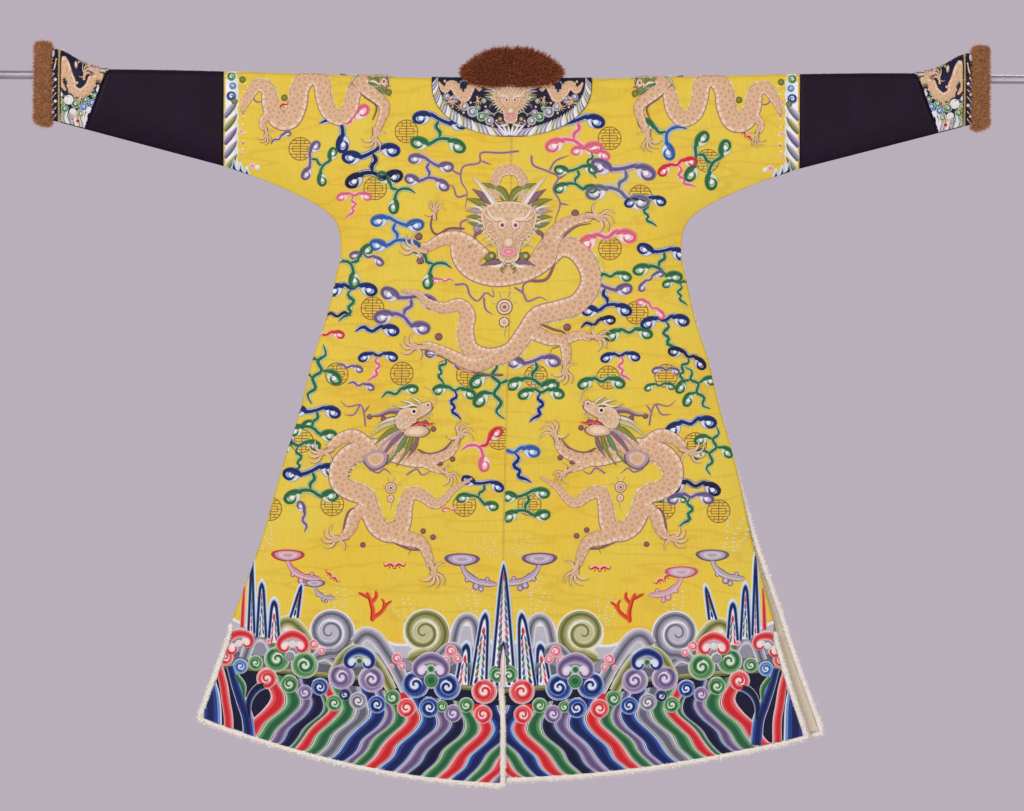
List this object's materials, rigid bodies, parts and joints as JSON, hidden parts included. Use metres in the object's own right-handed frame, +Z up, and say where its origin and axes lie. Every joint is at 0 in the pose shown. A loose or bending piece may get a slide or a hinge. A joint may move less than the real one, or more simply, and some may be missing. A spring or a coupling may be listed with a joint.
{
  "type": "chinese dragon robe hanging on a rod",
  "caption": "Yellow silk dragon robe with horse-hoof cuffs, fur collar and fur-edged hem, hung flat on a round steel rod through both sleeves.",
  "frame": {"origin": "the rod's centre line at the middle of its length, where the robe's neck hangs", "axes": "+Z up, +X along the rod to the wearer's right, -Y out of the robe's back"},
  "size_m": [2.16, 0.0696, 1.5252],
  "materials": {
    "yellow_silk": "satin-weave silk with embroidery",
    "dark_silk": "satin-weave silk",
    "navy_silk": "satin-weave silk with couched gold",
    "gold_cord": "couched gold thread",
    "cuff_fur": "fur",
    "collar_fur": "fur",
    "cream_fur": "short fur",
    "steel": "satin",
    "brass": "polished"
  },
  "bodies": {
    "root": {"body_left": "yellow_silk", "body_right": "yellow_silk", "front_overlap": "yellow_silk", "middle_sleeve_left": "dark_silk", "middle_sleeve_right": "dark_silk", "button_loop_1": "dark_silk", "button_loop_2": "dark_silk", "button_loop_3": "dark_silk", "button_loop_4": "dark_silk", "button_loop_5": "dark_silk", "cuff_left": "navy_silk", "cuff_right": "navy_silk", "cuff_band_left": "navy_silk", "cuff_band_right": "navy_silk", "collar_band": "navy_silk", "lapel_band": "navy_silk", "cuff_piping_left": "gold_cord", "cuff_piping_right": "gold_cord", "cuff_fur_left": "cuff_fur", "cuff_fur_right": "cuff_fur", "collar_fur_left": "collar_fur", "collar_fur_right": "collar_fur", "trim_back_left": "cream_fur", "trim_back_right": "cream_fur", "trim_front_left": "cream_fur", "trim_overlap": "cream_fur", "overlap_lining": "cream_fur", "rod": "steel", "button_1": "brass", "button_2": "brass", "button_3": "brass", "button_4": "brass", "button_5": "brass"}
  },
  "joints": []
}
